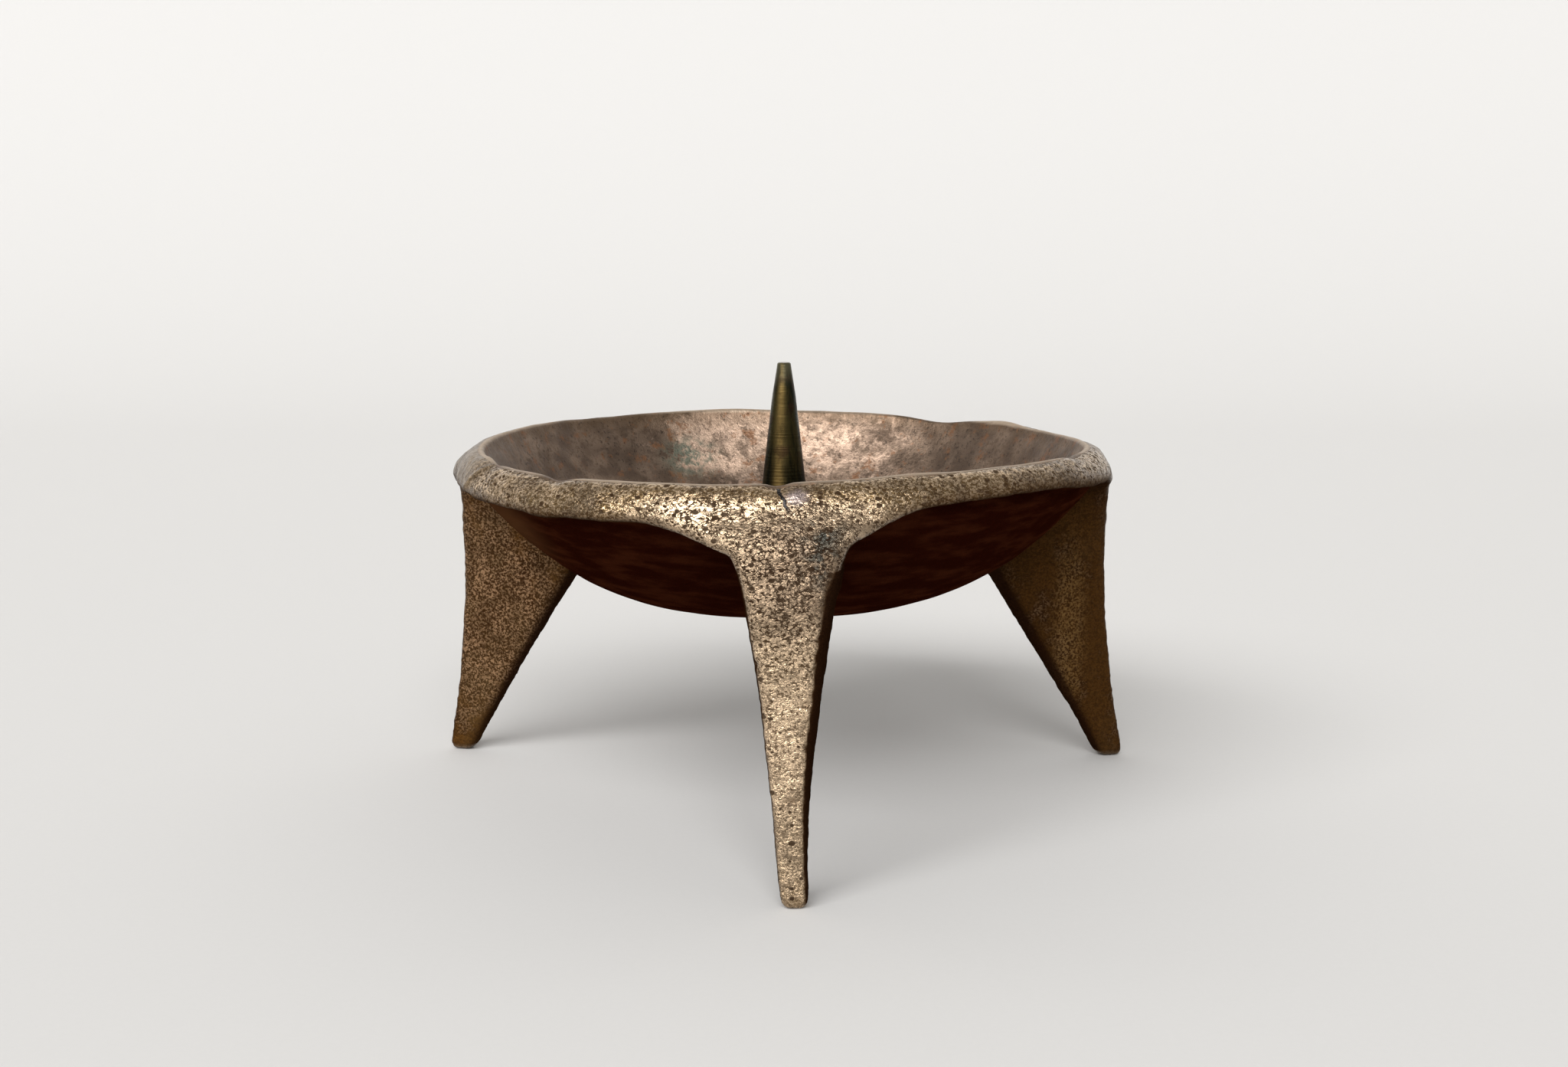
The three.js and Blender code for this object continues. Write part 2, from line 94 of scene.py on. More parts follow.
# Each leg, with lengths in metres and angles in degrees:
#   angle, twist: direction from the bowl's axis with 0 in front, and turn of the blade
#   lean, bend: how far the foot stands to the side, and the height below which it does
#   reach, broad: how much farther out the foot stands, and how much its blade grows inwards
#   neck, spread: width under the band, and how late the width grows towards it
#   sway: sideways bow at half height
#   deeper, corner, bead: inner edge's depth, round of its upper corner, and fillet under the bowl
#   ear, out, profile: half width of the band's ear over the leg, its share and its section
#   tuck, blend: how far the neck stays inside the band's face, and over which height it gets there
#   worn, painted_shade, bare: turn of the rubbed side, painted shade on the other sides, and width of the
#       silvery end, a painted reflection over a brushed grain
LEGS = {
    "leg_front": {
        "angle": 0.0, "twist": 9.0, "lean": 1.6 * MM, "bend": 30 * MM, "reach": 0.0, "broad": 0.0,
        "neck": 21.0 * MM, "spread": 1.8, "sway": 0.4 * MM,
        "deeper": 0.0, "corner": 0.0, "bead": 0.5 * MM,
        "ear": 24, "out": 1.0, "profile": "sloping", "tuck": 0.2 * MM, "blend": 6.5 * MM,
        "worn": -15, "painted_shade": 1.0, "bare": 0,
    },
    "leg_left": {
        "angle": -111.0, "twist": 0.0, "lean": 0.0, "bend": 60 * MM, "reach": 0.0, "broad": 0.0,
        "neck": 17.5 * MM, "spread": 2.5, "sway": 0.0,
        "deeper": 0.8 * MM, "corner": 0.5 * MM, "bead": 3.0 * MM,
        "ear": 20, "out": 1.0, "profile": "shelf", "tuck": 0.6 * MM, "blend": 10.6 * MM,
        "worn": 0, "painted_shade": 0.0, "bare": 50,
    },
    "leg_right": {
        "angle": 110.0, "twist": 2.0, "lean": -3.4 * MM, "bend": 60 * MM,
        "reach": -1.4 * MM, "broad": 1.5 * MM, "neck": 17.5 * MM, "spread": 2.5, "sway": 0.0,
        "deeper": 1.1 * MM, "corner": 3.6 * MM, "bead": 2.0 * MM,
        "ear": 20, "out": 0.9, "profile": "shelf", "tuck": 0.6 * MM, "blend": 10.6 * MM,
        "worn": 0, "painted_shade": 0.42, "bare": 33,
    },
}

# Sections of the rim band as (out from the bowl's wall, down from the crest) in millimetres: between
# the legs, over the front leg, where it slopes out, and over the side legs, where it is a rounded shelf.
BAND_SECTIONS = {
    "plain": [
        (-0.95, 0.45), (-0.6, 0.12), (0.7, 0.5), (1.6, 1.2), (2.4, 2.2), (3.0, 3.2), (3.4, 4.2), (3.6, 5.2),
        (3.6, 6.0), (2.9, 6.5), (1.5, 6.7), (-0.5, 6.7),
    ],
    "sloping": [
        (-0.95, 0.45), (-0.6, 0.12), (0.8, 0.5), (1.8, 1.3), (2.6, 2.4), (3.2, 3.6), (4.2, 5.0), (5.6, 6.6),
        (7.2, 8.5), (8.6, 10.6), (8.6, 12.2), (-0.5, 9.0),
    ],
    "shelf": [
        (-0.95, 0.45), (-0.6, 0.12), (2.0, 0.9), (4.8, 2.0), (7.2, 3.4), (9.2, 4.9), (10.8, 6.8), (11.8, 9.0),
        (11.8, 10.4), (10.5, 11.8), (8.0, 12.0), (-0.5, 9.0),
    ],
}

# Hand-made bumps and dents of the rim: direction in degrees, half width in degrees and rise.
RIM_BUMPS = [
    (-68, 3.5, 0.35 * MM),
    (-62.5, 2.5, -0.3 * MM),
    (-42, 3, -0.8 * MM),
    (-26, 12, 0.3 * MM),
    (-1, 1.6, -0.6 * MM),
    (20, 5, 0.3 * MM),
    (63, 4, -0.4 * MM),
    (126, 6, 0.6 * MM),
    (145, 7, -1.0 * MM),
    (191, 10, 0.4 * MM),
    (223, 12, -0.4 * MM),
]

# Scars on the front leg: place from the bowl's axis, half length, half height and depth.
NICKS = [
    ((1.5 * MM, -73 * MM, 17.2 * MM), 1.5 * MM, 0.45 * MM, 0.5 * MM),
    ((3.6 * MM, -70.5 * MM, 32.7 * MM), 1.2 * MM, 0.6 * MM, 0.5 * MM),
    ((-4.6 * MM, -70.5 * MM, 39.0 * MM), 0.9 * MM, 0.7 * MM, 0.3 * MM),
]


class CandlestickSizes(bpy.types.PropertyGroup):
    """Sizes that the skins are made from."""

    crest_height: bpy.props.FloatProperty(
        name="Crest height", description="Upper edge of the bowl above the table", default=67 * MM,
        unit="LENGTH",
    )
    edge_thickness: bpy.props.FloatProperty(
        name="Edge thickness", description="Bowl's wall at its upper edge", default=1.8 * MM, unit="LENGTH"
    )
    collar_height: bpy.props.FloatProperty(
        name="Collar height", description="Upright part of the bowl's wall", default=7 * MM, unit="LENGTH"
    )
    floor_thickness: bpy.props.FloatProperty(
        name="Floor thickness", description="Thickness of the bowl's floor", default=4.9 * MM, unit="LENGTH"
    )
    seat_radius: bpy.props.FloatProperty(
        name="Seat radius", description="Flat round place under the pricket", default=12 * MM,
        unit="LENGTH",
    )
    band_height: bpy.props.FloatProperty(
        name="Band height", description="Rim band from top to lower edge", default=6.4 * MM, unit="LENGTH"
    )
    foot_radius: bpy.props.FloatProperty(
        name="Foot radius", description="Middle of a foot from the bowl's axis", default=71 * MM,
        unit="LENGTH",
    )
    foot_length: bpy.props.FloatProperty(
        name="Foot length", description="Foot, measured away from the axis", default=4.9 * MM, unit="LENGTH"
    )
    foot_width: bpy.props.FloatProperty(
        name="Foot width", description="Foot, measured across the leg", default=4.9 * MM, unit="LENGTH"
    )
    waist_radius: bpy.props.FloatProperty(
        name="Waist radius", description="Outer edge of a leg where it is nearest the axis",
        default=68.0 * MM, unit="LENGTH",
    )
    waist_height: bpy.props.FloatProperty(
        name="Waist height", description="Height of a leg's waist", default=50 * MM, unit="LENGTH"
    )
    grain: bpy.props.FloatProperty(
        name="Casting grain", description="Size of the small cubes that the cast skin is made from",
        default=0.36 * MM, unit="LENGTH", precision=5,
    )


class CandlestickColours(bpy.types.PropertyGroup):
    """Colours of the finishes."""

    rubbed_bronze: bpy.props.FloatVectorProperty(
        name="Rubbed bronze", description="High places of the casting", subtype="COLOR", size=3,
        default=(0.72, 0.53, 0.34),
    )
    brown_bronze: bpy.props.FloatVectorProperty(
        name="Brown bronze", description="Casting away from the high places", subtype="COLOR", size=3,
        default=(0.078, 0.034, 0.008),
    )
    pit_dark: bpy.props.FloatVectorProperty(
        name="Pits", description="Inside of the casting's pits", subtype="COLOR", size=3,
        default=(0.028, 0.014, 0.007),
    )
    # Nearly black partly as painted shade
    underside: bpy.props.FloatVectorProperty(
        name="Underside", description="Dark underside of the bowl", subtype="COLOR", size=3,
        default=(0.017, 0.003, 0.0012),
    )
    copper: bpy.props.FloatVectorProperty(
        name="Copper patches", description="Pale patches inside the bowl", subtype="COLOR", size=3,
        default=(0.70, 0.50, 0.37),
    )
    umber: bpy.props.FloatVectorProperty(
        name="Umber", description="Brown inside of the bowl", subtype="COLOR", size=3,
        default=(0.12, 0.08, 0.055),
    )
    floor: bpy.props.FloatVectorProperty(
        name="Floor", description="Studio floor and backdrop", subtype="COLOR", size=3,
        default=(0.70, 0.69, 0.675),
    )


# Small helpers for shapes


def mix(a, b, share):
    return a + (b - a) * share


def clamp(value, low, high):
    return max(low, min(high, value))


def turn_between(a, b):
    """Degrees from b to a, between -180 and 180."""
    return (a - b + 180) % 360 - 180


def ear_share(angle, leg):
    """1 over the middle of the leg, 0 beyond the ear's half width."""
    turn = min(abs(turn_between(angle, leg["angle"])) / leg["ear"], 1)
    return math.cos(turn * math.pi / 2) ** 2


def band_point(index, angle, sizes):
    """How far out and how far down one point of the band's section is, in metres."""
    out, down = BAND_SECTIONS["plain"][index]
    thinner = math.exp(-((turn_between(angle, 42) / 26) ** 2))
    down *= sizes.band_height / (6.7 * MM) * (1 - 0.3 * thinner)
    for leg in LEGS.values():
        share = ear_share(angle, leg)
        ear_out, ear_down = BAND_SECTIONS[leg["profile"]][index]
        out = mix(out, ear_out * leg["out"], share)
        down = mix(down, ear_down, share)
    return out * MM, down * MM


def band_reach(angle, height, sizes):
    """The band's outer radius in this direction at this height, or its lower edge's radius below it."""
    drop = sizes.crest_height + wave_at(angle) - height
    before = band_point(1, angle, sizes)
    reach = before[0]
    for index in range(2, 10):
        point = band_point(index, angle, sizes)
        if drop < point[1]:
            share = clamp((drop - before[1]) / (point[1] - before[1]), 0, 1)
            return BOWL_RADIUS + mix(before[0], point[0], share)
        before = point
        reach = max(reach, point[0])
    return BOWL_RADIUS + reach


def wave_at(angle):
    """The rim's hand-made rise and fall round the bowl."""
    a = math.radians(angle)
    once = 0.2 * MM * math.cos(a - math.radians(63))
    twice = 0.7 * MM * math.cos(2 * a - math.radians(92))
    thrice = 0.2 * MM * math.cos(3 * a - math.radians(74))
    return once + twice + thrice


def bumps_at(angle):
    return sum(rise * math.exp(-((turn_between(angle, at) / width) ** 2)) for at, width, rise in RIM_BUMPS)


def heading(degrees):
    """The level direction at this angle from the front."""
    turn = math.radians(degrees)
    return Vector((math.sin(turn), -math.cos(turn), 0))


def outwards_at(co):
    """The level direction from the bowl's axis to a place."""
    return Vector((co.x, co.y, 0)).normalized()


def polar(co):
    """Distance from the bowl's axis, direction in degrees from the front, and height."""
    return math.hypot(co.x, co.y), math.degrees(math.atan2(co.x, -co.y)), co.z


def fractal(co, scale, seed, octaves=3):
    """Smooth noise from about -1 to 1, the same each time."""
    place = Vector((co.x * scale + seed, co.y * scale - seed, co.z * scale + 2 * seed))
    return noise.fractal(place, 1.0, 2.0, octaves)


def spun(bm, outline, steps, ring=False):
    """Turns (radius, height) points round the Z axis: a ring's section, or one from axis to axis."""
    verts = [bm.verts.new((radius, 0, height)) for radius, height in outline]
    ends = verts[1:] + verts[:1] if ring else verts[1:]
    edges = [bm.edges.new(pair) for pair in zip(verts, ends)]
    bmesh.ops.spin(
        bm, geom=verts + edges, cent=(0, 0, 0), axis=(0, 0, 1), dvec=(0, 0, 0),
        angle=2 * math.pi, steps=steps, use_merge=True, use_normal_flip=False, use_duplicate=False,
    )
    bmesh.ops.remove_doubles(bm, verts=bm.verts, dist=2e-6)
    bmesh.ops.recalc_face_normals(bm, faces=bm.faces)


def picked(geom, kind):
    return [item for item in geom if isinstance(item, kind)]


def placed(bm, name, material):
    """Puts the shape into the scene as a smooth object."""
    for face in bm.faces:
        face.smooth = True
    mesh = bpy.data.meshes.new(name)
    bm.to_mesh(mesh)
    bm.free()
    mesh.materials.append(material)
    thing = bpy.data.objects.new(name, mesh)
    bpy.context.scene.collection.objects.link(thing)
    return thing


def finished(bm, node_name, material):
    """Places a skin with its position in its mesh, and says which solid it stands for."""
    for vert in bm.verts:
        vert.co += AXIS
    piece = placed(bm, f"{node_name}_skin", material)
    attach(piece, "root")
    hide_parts(node_name)
    return piece


# Shapes of the casting


def band_form(bm, sizes):
    """The rim band: a closed ring that is drawn out and hangs lower over each leg."""
    count = len(BAND_SECTIONS["plain"])
    section = [(BOWL_RADIUS + i * MM, sizes.crest_height + (i - 6) ** 2 * MM) for i in range(count)]
    spun(bm, section, 360, ring=True)
    for vert in bm.verts:
        radius, angle, _ = polar(vert.co)
        out, down = band_point(round((radius - BOWL_RADIUS) / MM), angle, sizes)
        scale = (BOWL_RADIUS + out) / radius
        vert.co.x *= scale
        vert.co.y *= scale
        bump = bumps_at(angle) * (1 - 0.5 * down / sizes.band_height)
        vert.co.z = sizes.crest_height - down + wave_at(angle) + bump


def outer_edge_at(height, sizes):
    foot = sizes.foot_radius + sizes.foot_length / 2
    share = clamp((sizes.waist_height - height) / sizes.waist_height, 0, 1)
    return mix(sizes.waist_radius, foot, share ** 1.7)


def inner_edge_at(rise, sizes):
    """Radius of a plain leg's inner edge, with rise 0 at the foot and 1 inside the bowl."""
    return mix(sizes.foot_radius - sizes.foot_length / 2, LEG_ROOT_RADIUS, rise ** 1.15)


def leg_form(bm, leg, sizes):
    """One blade leg: a post of stacked rings, shaped from the foot to inside the band and the bowl."""
    levels = 70
    start = bmesh.ops.create_circle(bm, cap_ends=True, segments=32, radius=1)
    face = start["verts"][0].link_faces[0]
    post = list(start["verts"])
    for _ in range(levels):
        raised = bmesh.ops.extrude_face_region(bm, geom=[face])["geom"]
        ring = picked(raised, bmesh.types.BMVert)
        bmesh.ops.translate(bm, verts=ring, vec=(0, 0, 1 / levels))
        post += ring
        face = picked(raised, bmesh.types.BMFace)[0]

    leg_top = sizes.crest_height - sizes.band_height
    root_height = leg_top - LEG_ROOT_DROP
    outwards = heading(leg["angle"])
    sideways = Vector((-outwards.y, outwards.x, 0))
    squareness = 0.36
    crowding = 1.35  # the levels lie closer together at the foot
    for vert in post:
        # From the round post to a rounded square: out is 0 at the inner edge, v is -1 and 1 at the sides
        u = math.copysign(abs(vert.co.x) ** squareness, vert.co.x)
        v = math.copysign(abs(vert.co.y) ** squareness, vert.co.y)
        out = (u + 1) / 2
        rise = vert.co.z ** crowding
        outer_height = rise * leg_top
        filled = min(out * (1 + 0.3 * rise ** 4), 1)  # no slot is left under the band
        height = mix(rise * root_height, outer_height, filled)
        inner = inner_edge_at(rise, sizes)
        inner -= leg["broad"] * (1 - rise) + leg["deeper"] * min(4 * rise, 1)
        inner -= leg["corner"] * math.exp(-max(underside_at(inner) - rise * root_height, 0) / (0.9 * MM))
        outer = outer_edge_at(outer_height, sizes) + leg["reach"] * (1 - rise)
        # The foot's underside is rounded, and the root stays inside the bowl
        rounding = mix(0.5, 1, math.sqrt(1 - (1 - clamp(height / (2.2 * MM), 0, 1)) ** 2))
        middle = (inner + outer) / 2
        radius = mix(middle, mix(inner, outer, out), rounding)
        if radius < BOWL_RADIUS:
            height = min(height, underside_at(radius) + LEG_ROOT_COVER)
        # The blade is thinner at its inner edge and has a small fillet under the bowl
        width = mix(sizes.foot_width, leg["neck"], (height / leg_top) ** leg["spread"])
        if leg["profile"] == "sloping":
            width += 2.0 * MM * math.exp((height - 56 * MM) / (3.1 * MM)) * out ** 3
        width *= mix(mix(0.72, 0.5, (height / leg_top) ** 4), 1, out) * rounding
        gap = max(underside_at(min(radius, BOWL_RADIUS)) - height, 0)
        bead = leg["bead"] * math.exp(-gap / (1.8 * MM))
        bead *= clamp((BOWL_RADIUS + 2 * MM - radius) / (9 * MM), 0, 1)
        side = v * (width / 2 + bead) + math.tan(math.radians(leg["twist"])) * (outer - radius)
        side += leg["lean"] * (1 - clamp(height / leg["bend"], 0, 1)) ** 2
        side += leg["sway"] * math.sin(math.pi * clamp(height / leg_top, 0, 1))
        # The neck ends just inside the band's face
        away = leg["angle"] + math.degrees(math.atan2(side, radius))
        limit = band_reach(away, height, sizes) - leg["tuck"]
        if radius > limit and height > sizes.waist_height:
            radius = mix(radius, limit, clamp((height - sizes.waist_height) / leg["blend"], 0, 1))
        if radius < BOWL_RADIUS:
            height = min(height, underside_at(radius) + LEG_ROOT_COVER)
        vert.co = outwards * radius + sideways * side + Vector((0, 0, height))


def pinched(bm):
    """Draws the mouth in a little over the side legs."""
    for vert in bm.verts:
        radius, angle, height = polar(vert.co)
        turn = min(abs(turn_between(angle, LEGS[name]["angle"])) for name in ("leg_left", "leg_right"))
        share = math.exp(-((turn / 22) ** 2)) * clamp((height - 57 * MM) / (7 * MM), 0, 1)
        share *= clamp((70 * MM - radius) / (8 * MM), 0, 1)
        if share > 0:
            scale = 1 - 1.5 * MM * share / radius
            vert.co.x *= scale
            vert.co.y *= scale


def underside_at(radius):
    """Height of the bowl's underside."""
    return BOWL_BOTTOM + UNDERSIDE_RISE * (radius / BOWL_RADIUS) ** 3


def remeshed(bm, cube):
    """One closed skin over everything in the bmesh, made of cells of the given size."""
    mesh = bpy.data.meshes.new("casting_core")
    bm.to_mesh(mesh)
    bm.free()
    core = bpy.data.objects.new("casting_core", mesh)
    bpy.context.scene.collection.objects.link(core)
    skin = core.modifiers.new("Skin", "REMESH")
    skin.mode = "VOXEL"
    skin.voxel_size = cube
    graph = bpy.context.evaluated_depsgraph_get()
    made = bmesh.new()
    made.from_mesh(core.evaluated_get(graph).data)
    bpy.data.objects.remove(core)
    bpy.data.meshes.remove(mesh)
    return made


def casting_relief(co):
    """How far the cast surface stands out from its smooth form, in metres."""
    lumps = 0.18 * MM * fractal(co, 110, 3.1)
    flat = Vector((co.x, co.y, 1.7 * co.z))
    wrinkles = 0.10 * MM * fractal(flat, 430, 7.7)
    if co.z > 58 * MM and co.x < 0:
        # A ridge that leans across the band at the left
        turn = turn_between(polar(co)[1], -62 - 1.1 * (67 - co.z / MM))
        lumps += 0.30 * MM * math.exp(-(turn ** 2))
    scars = 0.0
    for place, length, height, depth in NICKS:
        away = co - Vector(place)
        if abs(away.y) < 4 * MM:
            scars += depth * math.exp(-((away.x / length) ** 2) - (away.z / height) ** 2)
    return lumps + wrinkles - scars


def finish_layers(bm, sizes):
    """Marks how rubbed each place is, the silvery ends over the side legs, painted as a reflection over a
    brushed grain, and painted shade on the legs' edges, under the bowl and along the band's lower edge.
    """
    rubbed = bm.verts.layers.float.new("rubbed")
    silver_sheen = bm.verts.layers.float.new("silver_sheen")
    painted_shade = bm.verts.layers.float.new("painted_shade")
    root_height = sizes.crest_height - sizes.band_height - LEG_ROOT_DROP
    for vert in bm.verts:
        radius, angle, height = polar(vert.co)
        outwards = vert.normal.dot(outwards_at(vert.co))
        share = clamp((max(outwards, 0.9 * vert.normal.z) - 0.35) / 0.35, 0, 1)
        front = ear_share(angle, LEGS["leg_front"])
        # Painted shade: the band's lower edge is less rubbed, over a wider strip towards the right
        low = sizes.crest_height + wave_at(angle) - band_point(9, angle, sizes)[1]
        fade = mix(2.0 * MM, 3.8 * MM, math.exp(-((turn_between(angle, 48) / 30) ** 2)))
        above = mix(clamp((height - low) / fade, 0, 1), 1, math.sqrt(front))
        share *= mix(0.3, 1, above)
        leg = min(LEGS.values(), key=lambda leg: abs(turn_between(angle, leg["angle"])))
        if height < 54 * MM:  # a leg's worn side
            toward = vert.normal.dot(heading(leg["angle"] + leg["worn"]))
            share = clamp((toward - 0.62) / 0.2, 0, 1)
        if height < 61 * MM:  # painted shade on the legs' edges, under the bowl, and over the shaded sides of each leg
            along = vert.co.dot(heading(leg["angle"]))
            rise = clamp(height / root_height, 0, 1)
            inner = inner_edge_at(rise, sizes) - leg["deeper"] - leg["broad"] * (1 - rise)
            edge = math.exp(-((max(along - inner, 0) / (1.5 * MM)) ** 2))
            outer = outer_edge_at(height, sizes)
            edge += 0.7 * math.exp(-((max(outer - along, 0) / (0.7 * MM)) ** 2))
            gap = max(underside_at(min(radius, BOWL_RADIUS)) - height, 0)
            edge += math.exp(-gap / (5.0 * MM)) + leg["painted_shade"]
            vert[painted_shade] = clamp(edge, 0, 1) * clamp((61 * MM - height) / (3 * MM), 0, 1) * (1 - share)
        if height > 56 * MM:  # painted shade along the band's lower edge
            vert[painted_shade] = max(vert[painted_shade], 0.9 * (1 - above))
        sole = clamp((1.3 * MM - height) / (0.9 * MM), 0, 1)
        vert[painted_shade] *= 1 - sole
        vert[rubbed] = max(share, 0.9 * sole)
        turn = turn_between(angle, leg["angle"]) * (1 if leg["angle"] > 0 else -1)
        # Silvery ends of the side ears: a painted reflection on their upturned tops
        if leg["profile"] == "shelf":
            end = clamp((leg["bare"] + turn) / 8, 0, 1) * clamp((17 - turn) / 6, 0, 1)
            vert[silver_sheen] = end * clamp((height - 57 * MM) / (4 * MM), 0, 1)


def displaced(bm, moves):
    """Moves each vertex by its own length along its normal, all at once."""
    for vert, move in [(vert, vert.normal * move) for vert, move in zip(bm.verts, moves)]:
        vert.co += move


def smoothed(bm, verts, rounds):
    axes = {f"use_axis_{axis}": True for axis in "xyz"}
    for _ in range(rounds):
        bmesh.ops.smooth_vert(bm, verts=verts, factor=0.5, **axes)


def joint_verts(bm):
    """The places where the band flows into a leg."""
    found = []
    for vert in bm.verts:
        radius, angle, height = polar(vert.co)
        near = min(abs(turn_between(angle, leg["angle"])) for leg in LEGS.values())
        if radius > 61 * MM and near < 17 and 50 * MM < height < 61.5 * MM:
            found.append(vert)
    return found


class CANDLESTICK_OT_casting(bpy.types.Operator):
    """Make the rim band and the three legs as one cast skin, parted under the band"""

    bl_idname = "candlestick.casting"
    bl_label = "Rim band and legs"

    def execute(self, context):
        sizes = context.scene.candlestick_sizes
        bm = bmesh.new()
        band_form(bm, sizes)
        for leg in LEGS.values():
            leg_form(bm, leg, sizes)
        bmesh.ops.recalc_face_normals(bm, faces=bm.faces)
        skin = remeshed(bm, sizes.grain)
        pinched(skin)
        smoothed(skin, skin.verts, 3)
        smoothed(skin, joint_verts(skin), 25)
        skin.normal_update()
        displaced(skin, [casting_relief(vert.co) for vert in skin.verts])
        lowest = Vector(CAD_BOX[0]) - AXIS
        highest = Vector(CAD_BOX[1]) - AXIS
        for vert in skin.verts:
            vert.co.x = clamp(vert.co.x, lowest.x, highest.x)
            vert.co.y = clamp(vert.co.y, lowest.y, highest.y)
            vert.co.z = max(vert.co.z, 0)
        skin.normal_update()
        finish_layers(skin, sizes)
        material = cast_material(context.scene.candlestick_colours)
        for name in ["rim_band", *LEGS]:
            piece = skin.copy()
            above = name == "rim_band"
            bmesh.ops.bisect_plane(
                piece, geom=piece.verts[:] + piece.edges[:] + piece.faces[:], dist=1e-7,
                plane_co=(0, 0, PARTING_HEIGHT), plane_no=(0, 0, 1),
                clear_inner=above, clear_outer=not above,
            )
            if not above:
                angle = LEGS[name]["angle"]
                away = [v for v in piece.verts if abs(turn_between(polar(v.co)[1], angle)) > 50]
                bmesh.ops.delete(piece, geom=away, context="VERTS")
            rims = [edge for edge in piece.edges if edge.is_boundary]
            bmesh.ops.holes_fill(piece, edges=rims, sides=0)
            for edge in rims:
                if edge.is_valid:
                    edge.smooth = False
            bmesh.ops.recalc_face_normals(piece, faces=piece.faces)
            finished(piece, name, material)
        skin.free()
        return {"FINISHED"}


# Bowl


def bowl_outline(sizes):
    """The bowl's section from the underside's middle out, over the edge and in to the floor's middle."""
    collar_foot = sizes.crest_height - sizes.collar_height
    depth = collar_foot - BOWL_BOTTOM
    floor = BOWL_BOTTOM + sizes.floor_thickness
    mouth = BOWL_RADIUS - sizes.edge_thickness
    half_edge = sizes.edge_thickness / 2
    top = sizes.crest_height - half_edge
    steps = 60
    outline = [(0, BOWL_BOTTOM + depth / steps ** 3 - 1e-6)]
    for i in range(1, steps + 1):
        share = i / steps
        outline.append((BOWL_RADIUS * share, BOWL_BOTTOM + depth * share ** 3))
    for i in range(1, 7):
        outline.append((BOWL_RADIUS, mix(collar_foot, top, i / 6)))
    for i in range(1, 6):
        turn = math.pi * i / 6
        out = BOWL_RADIUS - half_edge + half_edge * math.cos(turn)
        outline.append((out, top + half_edge * math.sin(turn)))
    for i in range(steps, 0, -1):
        share = i / steps
        outline.append((mix(sizes.seat_radius, mouth, share), mix(floor, top, share ** 3)))
    for i in range(6, -1, -1):
        outline.append((sizes.seat_radius * i / 6, floor))
    return outline, floor, collar_foot


class CANDLESTICK_OT_bowl(bpy.types.Operator):
    """Make the bowl with its uneven edge and gently rippled walls"""

    bl_idname = "candlestick.bowl"
    bl_label = "Bowl"

    def execute(self, context):
        sizes = context.scene.candlestick_sizes
        outline, floor, collar_foot = bowl_outline(sizes)
        bm = bmesh.new()
        spun(bm, outline, 240)
        for vert in bm.verts:
            radius, angle, height = polar(vert.co)
            share = clamp((height - floor) / (collar_foot - floor), 0, 1)
            vert.co.z += wave_at(angle) * share ** 2 + bumps_at(angle) * share ** 4
            sag = math.exp(-((turn_between(angle, -45) / 35) ** 2))
            sag *= math.exp(-(((radius - 38 * MM) / (14 * MM)) ** 2))
            if height < underside_at(radius) + 1 * MM:
                vert.co.z -= 0.6 * MM * sag
        pinched(bm)
        bm.normal_update()
        inside = bm.verts.layers.float.new("inside")
        worn = bm.verts.layers.float.new("worn")
        for vert in bm.verts:
            inward = -vert.normal.dot(outwards_at(vert.co))
            vert[inside] = float(vert.normal.z > 0.05 or inward > 0.05)
            crest = sizes.crest_height + wave_at(polar(vert.co)[1])
            vert[worn] = 0.6 * clamp(1 - (crest - vert.co.z) / (0.3 * MM), 0, 1)
        ripples = [0.13 * MM if vert[inside] > 0.5 else 0.12 * MM for vert in bm.verts]
        displaced(bm, [ripple * fractal(vert.co, 120, 11.3, 2) for ripple, vert in zip(ripples, bm.verts)])
        material = bowl_material(context.scene.candlestick_colours)
        finished(bm, "bowl", material)
        return {"FINISHED"}


# Pricket, screw and washer


class CANDLESTICK_OT_pricket(bpy.types.Operator):
    """Make the turned cone that the candle is pressed on"""

    bl_idname = "candlestick.pricket"
    bl_label = "Pricket"

    def execute(self, context):
        tip = 1.25 * MM
        shoulder = 2.15 * MM
        shoulder_height = PRICKET_TOP - 5.8 * MM
        outline = [(share * PRICKET_BASE, PRICKET_FOOT) for share in (0, 0.6)]
        outline += [(PRICKET_BASE - 0.3 * MM, PRICKET_FOOT), (PRICKET_BASE, PRICKET_FOOT + 0.3 * MM)]
        steps = 40
        for i in range(1, steps + 1):
            share = i / steps
            height = mix(PRICKET_FOOT + 0.3 * MM, shoulder_height, share)
            outline.append((mix(PRICKET_BASE, shoulder, share), height))
        for i in range(1, 9):
            share = i / 8
            outline.append((mix(shoulder, tip, share), mix(shoulder_height, PRICKET_TOP - 0.2 * MM, share)))
        outline += [(radius, PRICKET_TOP) for radius in (tip - 0.2 * MM, 0.3 * MM, 0)]
        bm = bmesh.new()
        spun(bm, outline, 72)
        for vert in bm.verts:
            dent = 0.05 * MM * fractal(vert.co, 300, 5.5, 2)
            if vert.co.xy.length > 0.9 * MM:
                vert.co += outwards_at(vert.co) * dent
        rubbed = bm.verts.layers.float.new("rubbed")
        for vert in bm.verts:
            angle = polar(vert.co)[1]
            low = clamp((vert.co.z - PRICKET_FOOT) / (13 * MM), 0, 1)
            streak = math.exp(-((turn_between(angle, -16) / 17) ** 2))
            streak += 0.7 * math.exp(-((turn_between(angle, 150) / 30) ** 2))
            vert[rubbed] = clamp(streak * low, 0, 1)
        pricket = finished(bm, "pricket", pricket_material())
        pricket.data.set_sharp_from_angle(angle=math.radians(35))
        return {"FINISHED"}


